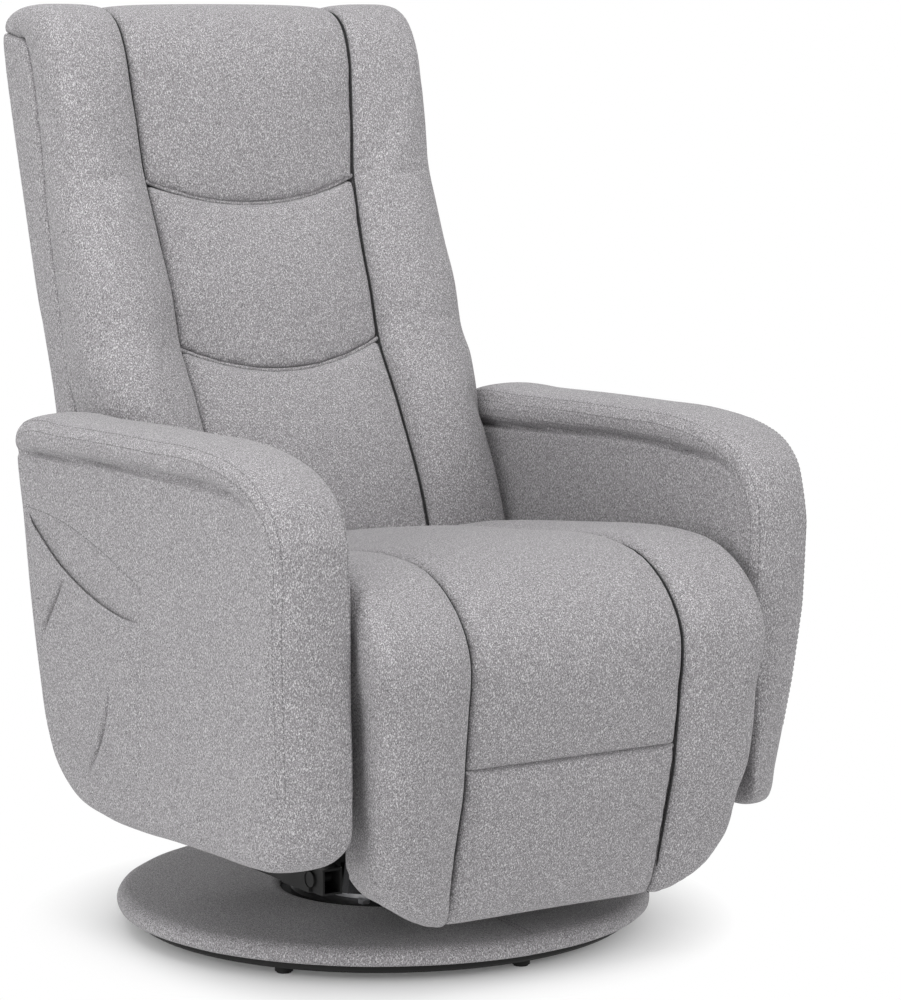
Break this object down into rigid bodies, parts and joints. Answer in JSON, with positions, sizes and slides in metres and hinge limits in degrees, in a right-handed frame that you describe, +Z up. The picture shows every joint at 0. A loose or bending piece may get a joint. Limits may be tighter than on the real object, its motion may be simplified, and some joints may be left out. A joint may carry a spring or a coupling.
{
  "type": "swivel recliner",
  "caption": "Upholstered recliner with box arms, a rolled three-panel back, seat and leg rest, turning on a round padded disc base.",
  "frame": {"origin": "middle of the footprint, on the floor", "axes": "+Z up; the sitter faces -Y; +X is the sitter's left"},
  "size_m": [0.734, 0.8852, 1.089],
  "materials": {
    "upholstery": "grey heathered weave",
    "felt": "felt",
    "webbing": "woven webbing",
    "black_steel": "black powder coat",
    "bright_steel": "zinc plated",
    "board": "raw plywood",
    "foot_plastic": "moulded glide",
    "trim_plastic": "black moulding"
  },
  "bodies": {
    "base": {"glide_feet": "foot_plastic", "foot_screws": "bright_steel", "base_trim_ring": "trim_plastic", "base_board": "board", "base_cover": "upholstery", "swivel_base_plate": "black_steel", "base_bolts": "bright_steel", "swivel_spindle": "bright_steel", "spindle_collar": "black_steel", "bearing_lower_race": "bright_steel", "bearing_balls": "bright_steel"},
    "chassis": {"bearing_upper_race": "bright_steel", "turntable": "black_steel", "chassis_cross_tubes": "black_steel", "chassis_rails": "black_steel", "chassis_pivot_pins": "black_steel", "arm_brackets": "black_steel", "arm_bolts": "black_steel", "arm_panels": "board", "right_arm_cover": "upholstery", "left_arm_cover": "upholstery", "right_arm_top": "upholstery", "left_arm_top": "upholstery", "right_arm_pocket": "upholstery"},
    "front_swing": {"front_links": "black_steel"},
    "rear_swing": {"rear_links": "black_steel"},
    "seat": {"seat_rails": "black_steel", "seat_pivot_pins": "black_steel", "seat_boards": "board", "seat_springs": "bright_steel", "seat_felt": "felt", "seat_cushion": "upholstery", "right_seat_roll": "upholstery", "left_seat_roll": "upholstery", "seat_hinge_plates": "black_steel", "rest_hinge_pins": "bright_steel", "crank_bearings": "black_steel", "seat_back_plates": "black_steel", "back_hinge_pins": "black_steel"},
    "leg_rest": {"rest_upper_pad": "upholstery", "rest_lower_pad": "upholstery", "right_rest_roll": "upholstery", "left_rest_roll": "upholstery", "rest_board": "board", "rest_hinge_plates": "black_steel", "rest_ears": "black_steel"},
    "crank": {"crank_tube": "black_steel", "crank_arms": "black_steel"},
    "push_bars": {"push_rods": "black_steel"},
    "back": {"back_stiles": "board", "back_cross_rails": "board", "back_webbing": "webbing", "back_plates": "black_steel", "back_rear_cover": "upholstery", "back_head_pad": "upholstery", "back_middle_pad": "upholstery", "back_waist_pad": "upholstery", "right_back_roll": "upholstery", "left_back_roll": "upholstery"}
  },
  "joints": [
    {"name": "swivel", "type": "hinge", "parent": "base", "child": "chassis", "pos_m": [0, -0.0145, 0], "axis": [0, 0, 1], "continuous": true},
    {"name": "rear_link_swing", "type": "hinge", "parent": "chassis", "child": "rear_swing", "pos_m": [0, 0.0055, 0.1142], "axis": [1, 0, 0], "range_deg": [0, 22.01]},
    {"name": "front_link_swing", "type": "hinge", "parent": "chassis", "child": "front_swing", "pos_m": [0, -0.2045, 0.1142], "axis": [1, 0, 0], "range_deg": [0, 22.01]},
    {"name": "seat_level", "type": "hinge", "parent": "rear_swing", "child": "seat", "pos_m": [0, 0.04366, 0.31052], "axis": [1, 0, 0], "range_deg": [-22.01, 0]},
    {"name": "back_recline", "type": "hinge", "parent": "seat", "child": "back", "pos_m": [0, 0.1355, 0.4], "axis": [-1, 0, 0], "range_deg": [0, 36]},
    {"name": "leg_rest_lift", "type": "hinge", "parent": "seat", "child": "leg_rest", "pos_m": [0, -0.3745, 0.432], "axis": [-1, 0, 0], "range_deg": [0, 82]},
    {"name": "crank_turn", "type": "hinge", "parent": "seat", "child": "crank", "pos_m": [0, -0.2395, 0.29], "axis": [-1, 0, 0], "range_deg": [0, 82]},
    {"name": "push_bar_turn", "type": "hinge", "parent": "crank", "child": "push_bars", "pos_m": [0, -0.16514, 0.143], "axis": [-1, 0, 0], "range_deg": [-82, 0]}
  ],
  "couplings": [
    {"joint": "rear_link_swing", "follows": "back_recline", "ratio": 0.61111},
    {"joint": "front_link_swing", "follows": "back_recline", "ratio": 0.61111},
    {"joint": "seat_level", "follows": "back_recline", "ratio": -0.61111},
    {"joint": "crank_turn", "follows": "leg_rest_lift", "ratio": 1},
    {"joint": "push_bar_turn", "follows": "leg_rest_lift", "ratio": -1}
  ]
}
